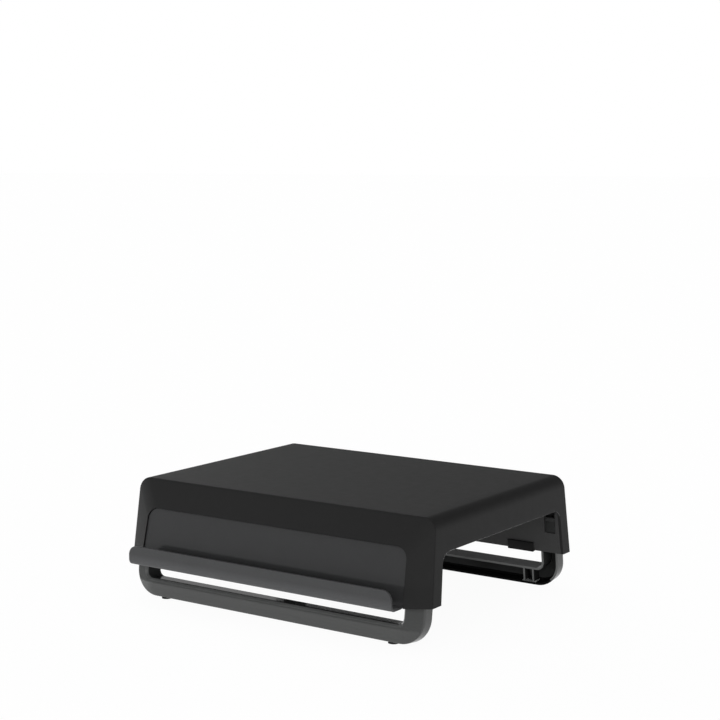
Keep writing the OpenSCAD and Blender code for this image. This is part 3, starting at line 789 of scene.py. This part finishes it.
# Painted light and shade of the feet as shares of their colour, under 1 painted shade and over 1 painted
# light, then the widths of places as lengths and as shares of the wall
paintedFootLight = dict(
    lowEdge=0.1, edge=1.7, floor=0.08, channel=0.45, opening=0.45, rearOpening=1.25, chamfer=1.4, fade=0.07,
    rise=0.66, catch=0.48, seat=3.0, rib=0.2,
    edgeBand=0.2 * mm, openingBand=0.3 * mm, ribBand=0.7 * mm, seatBand=0.1 * mm,
    nearWall=0.9, behindFace=0.6, pastEdge=0.4, floorDeep=2,
)


# Painted light and shade of a foot by place, the first that holds: painted shade on the low outer edge,
# painted highlight on the channel's other edges, painted shade on the channel's floor and the rest of it,
# painted shade on the front loop's opening and painted light on the rear loop's, and painted light on the
# chamfer. It is 1 on the face and falls up an upright.
# n = cornerR - reach is how far a point lies inside the loop's outer edge, by a bar, an upright or a corner
def footPaintedLight(rear):
    def tone(points):
        y, z = inPlane(points, rear)
        r, wall, band = foot["cornerR"], foot["wall"], foot["band"]
        overX = np.abs(points[:, 0]) - (foot["half"] - r)
        underZ = r - foot["drop"] - z
        reach = np.where((overX > 0) & (underZ > 0), np.hypot(overX, underZ), np.maximum(overX, underZ))
        n = r - reach
        faceY = foot["faceY"] - foot["swell"] * n / (band - foot["chamfer"])
        nearWall, behindFace = wall * paintedFootLight["nearWall"], wall * paintedFootLight["behindFace"]
        inChannel = (n > nearWall) & (n < band - nearWall) & (y > faceY + behindFace)
        fade = paintedFootLight["fade"] * np.clip(1 - underZ / (foot["drop"] - r), 0, 1)
        atBack = y > foot["backY"] - paintedFootLight["edgeBand"]
        places = [atBack & (n < wall) & (underZ > overX), atBack,
                  inChannel & (n < wall * paintedFootLight["floorDeep"]), inChannel,
                  n > band - paintedFootLight["openingBand"], n > band - foot["chamfer"]]
        opening = "rearOpening" if rear else "opening"
        shares = [paintedFootLight[key] for key in ("lowEdge", "edge", "floor", "channel", opening, "chamfer")]
        return np.select(places, shares, 1 - fade * (n > wall * paintedFootLight["pastEdge"]))

    return tone


# Painted light and shade of a foot's details by place, the first that holds: painted shade on a catch's
# upper part, on the cap and on the rest of the catch, painted highlight on the ribs' edges at the channel's
# edge, painted light on the seats, and painted shade on the ribs
def detailPaintedLight(rear):
    def tone(points):
        y, z = inPlane(points, rear)
        seatTop = foot["wall"] - foot["drop"] + detail["seatT"]
        places = [z > foot["tongueTop"], z > 0, y > foot["backY"] - paintedFootLight["ribBand"],
                  z < seatTop + paintedFootLight["seatBand"]]
        shares = [paintedFootLight[key] for key in ("rise", "catch", "edge", "seat")]
        return np.select(places, shares, paintedFootLight["rib"])

    return tone


# Feet and their details, with painted light and shade in their colour
for end in ("front", "rear"):
    atRear = end == "rear"
    makePiece(end + "LoopFoot", [loopFoot(atRear)], plastics["foot"], end + "_foot", [end + "_foot"],
              foot["bevel"], tone=footPaintedLight(atRear), dull=plastics["dullFoot"])
    makePiece(end + "FootDetails", footDetails(atRear), plastics["foot"], end + "_foot",
              [end + "_foot"], tone=detailPaintedLight(atRear), dull=plastics["dullFoot"])
print("feet made")

# Pads: turned rubber buttons with a stem, cut level with the desk; the head narrows to a share headTop
pad = dict(radius=5.5 * mm, depth=7.5 * mm, below=4 * mm, soft=0.4 * mm, stem=2 * mm, floorT=3.3 * mm,
           head=3 * mm, headH=1.4 * mm, headTop=0.7)


def rubberPad(rear, side):
    r, soft, stem, head = pad["radius"], pad["soft"], pad["stem"], pad["head"]
    bottom, floorT = -pad["below"], pad["floorT"]
    top = floorT + pad["headH"]
    profile = [(0, bottom), (r - soft, bottom), (r, bottom + soft), (r, -soft), (r - soft, 0), (stem, 0),
               (stem, floorT), (head, floorT), (head * pad["headTop"], top), (0, top)]
    grid, faces = turnedMesh(profile)
    place = np.array([side * foot["padX"], pad["depth"], -foot["drop"]])
    points = onEnd(grid + place, rear).reshape(-1, 3)
    points[:, 2] = np.maximum(points[:, 2], 0.0)
    return points, faces


# Locks: a finger tab, a web under the wall's edge, a plate behind the wall and its bolt. Pairs of values are
# in millimetres; soft is the radius of the edges, and at most a share softShare of a block's thickness
lock = dict(
    x0=122.5 * mm, width=31.5 * mm, tabY=(15.9, 17.5), tabZ=(0.5, 11.1), webTop=1.7 * mm,
    plateY=(12.1, 13.9), boltZ=(20, 25), boltLap=2 * mm, boltTip=159.4 * mm, railZ=(13.7, 16.3),
    slotX=(127.95, 148.55), soft=0.4 * mm, softShare=0.4,
)


def slideLock(rear, side):
    x0, x1 = lock["x0"], lock["x0"] + lock["width"]
    (tab0, tab1), (low, high) = np.array(lock["tabY"]) * mm, np.array(lock["tabZ"]) * mm
    plate0, plate1 = np.array(lock["plateY"]) * mm
    bolt0, bolt1 = np.array(lock["boltZ"]) * mm
    rail0, rail1 = np.array(lock["railZ"]) * mm
    slot0, slot1 = np.array(lock["slotX"]) * mm
    soft = lock["soft"]
    blocks = [
        ([x0, tab0, low], [x1, tab1, high]),
        ([x0, plate0, low], [x1, tab1, lock["webTop"]]),
        ([x0, plate0, low], [x1, plate1, rail0]),
        ([x0, plate0, rail1], [x1, plate1, bolt1]),
        ([x0, plate0, rail0 - soft], [slot0, plate1, rail1 + soft]),
        ([slot1, plate0, rail0 - soft], [x1, plate1, rail1 + soft]),
        ([x1 - lock["boltLap"], plate0, bolt0], [lock["boltTip"], plate1, bolt1]),
    ]
    meshes = []
    for lowCorner, highCorner in blocks:
        thin = np.min(np.abs(np.subtract(highCorner, lowCorner)))
        points, faces = softBlock(lowCorner, highCorner, min(soft, thin * lock["softShare"]))
        meshes.append((onEnd(points * [side, 1, 1], rear), faces))
    return meshes


# A node that keeps its own shape gets one of the finishes made above
def dress(name, material):
    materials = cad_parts[name].data.materials
    materials.clear()
    materials.append(material)


for end in ("front", "rear"):
    for sideName, side in (("left", -1), ("right", 1)):
        corner = end + "_" + sideName
        piece = end + sideName.capitalize()
        makePiece(piece + "Pad", [rubberPad(end == "rear", side)], plastics["pad"], end + "_foot",
                  [corner + "_pad"])
        makePiece(piece + "Lock", slideLock(end == "rear", side), plastics["lock"], corner + "_lock",
                  [corner + "_lock"])
        dress(corner + "_guide", plastics["guide"])
    dress(end + "_inner_cover", plastics["cover"])
    dress(end + "_cover_screws", steel)
dress("tray_screws", steel)
dress("guide_screws", steel)
print("pads and locks made, covers, guides and screws dressed")

# Camera, as the photograph was taken; angles are in degrees, the lens and its sensor in millimetres
camera = dict(place=(994.67 * mm, -1426.77 * mm, 422.91 * mm), azimuth=34.618, pitch=6.9625, lens=82.25,
              sensor=36)
lens = bpy.data.cameras.new("photoCamera")
lens.lens = camera["lens"]
lens.sensor_width = camera["sensor"]
eye = bpy.data.objects.new("photoCamera", lens)
eye.location = toDesk(np.array(camera["place"]))
eye.rotation_euler = (math.radians(90 - camera["pitch"]), 0, math.radians(camera["azimuth"]))
bpy.context.scene.collection.objects.link(eye)
bpy.context.scene.camera = eye

# Studio: a white backdrop all round, a dimmer ceiling, a pale floor and soft lamps from far away.
# Azimuth runs from straight behind (+Y) towards the right, elevation up from the floor, both in degrees
studio = dict(floorSize=80.0, floorDrop=0.02 * mm, floorColour=0.88, floorGlow=0.92, glowLevel=1.035,
              room=0.15, backdrop=1.0, fadeLow=0.1, fadeHigh=0.32)
lamps = dict(
    overhead=dict(azimuth=-70, elevation=78, spread=70, level=0.7),
    key=dict(azimuth=-138, elevation=1.5, spread=4, level=0.54),
    frontRight=dict(azimuth=145, elevation=20, spread=60, level=1.1),
    left=dict(azimuth=-95, elevation=6, spread=25, level=0.3),
    leftBack=dict(azimuth=-60, elevation=14, spread=30, level=0.42),
)


# Share of the rays that see the background as such: straight from the camera, or by way of gloss or glass
def seenShare(nodes, links):
    path = nodes.new("ShaderNodeLightPath")
    share = path.outputs["Is Camera Ray"]
    for name in ("Is Glossy Ray", "Is Transmission Ray"):
        share = joined(nodes, links, "MAXIMUM", share, path.outputs[name])
    return share


# Floor: a matt share that takes the shadow, and a glow for the rays that see it, just above white so that
# the sum of the two is white
def studioFloor():
    half = studio["floorSize"] / 2
    mesh = bpy.data.meshes.new("studioFloor")
    corners = [(-half, -half, 0), (half, -half, 0), (half, half, 0), (-half, half, 0)]
    mesh.from_pydata(corners, [], [(0, 1, 2, 3)])
    floor = bpy.data.objects.new("studioFloor", mesh)
    floor.location.z = -studio["floorDrop"]
    bpy.context.scene.collection.objects.link(floor)
    material, nodes, links = newMaterial("studioFloor")
    nodes.remove(nodes["Principled BSDF"])
    matt = nodes.new("ShaderNodeBsdfDiffuse")
    matt.inputs["Color"].default_value = (*[studio["floorColour"]] * 3, 1)
    glow = nodes.new("ShaderNodeEmission")
    glow.inputs["Strength"].default_value = studio["glowLevel"]
    share = nodes.new("ShaderNodeMath")
    share.operation = "MULTIPLY"
    share.inputs[1].default_value = studio["floorGlow"]
    links.new(seenShare(nodes, links), share.inputs[0])
    mix = nodes.new("ShaderNodeMixShader")
    links.new(share.outputs[0], mix.inputs["Fac"])
    links.new(matt.outputs["BSDF"], mix.inputs[1])
    links.new(glow.outputs["Emission"], mix.inputs[2])
    links.new(mix.outputs["Shader"], nodes["Material Output"].inputs["Surface"])
    mesh.materials.append(material)


# World: white round the horizon and below it, dimmer overhead. For a direction d the level is backdrop where
# d.z is under fadeLow, room where it is over fadeHigh, and a smooth blend of the two between them
def studioWorld():
    world = bpy.data.worlds.new("studioWorld")
    bpy.context.scene.world = world
    world.use_nodes = True
    nodes, links = world.node_tree.nodes, world.node_tree.links
    place = nodes.new("ShaderNodeTexCoord")
    parts = nodes.new("ShaderNodeSeparateXYZ")
    links.new(place.outputs["Generated"], parts.inputs[0])
    level = nodes.new("ShaderNodeMapRange")
    level.interpolation_type = "SMOOTHSTEP"
    level.inputs["From Min"].default_value = studio["fadeLow"]
    level.inputs["From Max"].default_value = studio["fadeHigh"]
    level.inputs["To Min"].default_value = studio["backdrop"]
    level.inputs["To Max"].default_value = studio["room"]
    links.new(parts.outputs["Z"], level.inputs["Value"])
    links.new(level.outputs["Result"], nodes["Background"].inputs["Strength"])
    nodes["Background"].inputs["Color"].default_value = (1, 1, 1, 1)


# A far soft lamp: it shines from its azimuth and elevation on all of the scene alike, over a cone of its
# spread
def softLamp(name, setting):
    data = bpy.data.lights.new(name, "SUN")
    data.energy = setting["level"]
    data.angle = math.radians(setting["spread"])
    lamp = bpy.data.objects.new(name, data)
    tilt, turn = 90 - setting["elevation"], 180 - setting["azimuth"]
    lamp.rotation_euler = (math.radians(tilt), 0, math.radians(turn))
    bpy.context.scene.collection.objects.link(lamp)


studioFloor()
studioWorld()
for name, setting in lamps.items():
    softLamp(name + "Lamp", setting)

bpy.context.scene.view_settings.view_transform = "Standard"
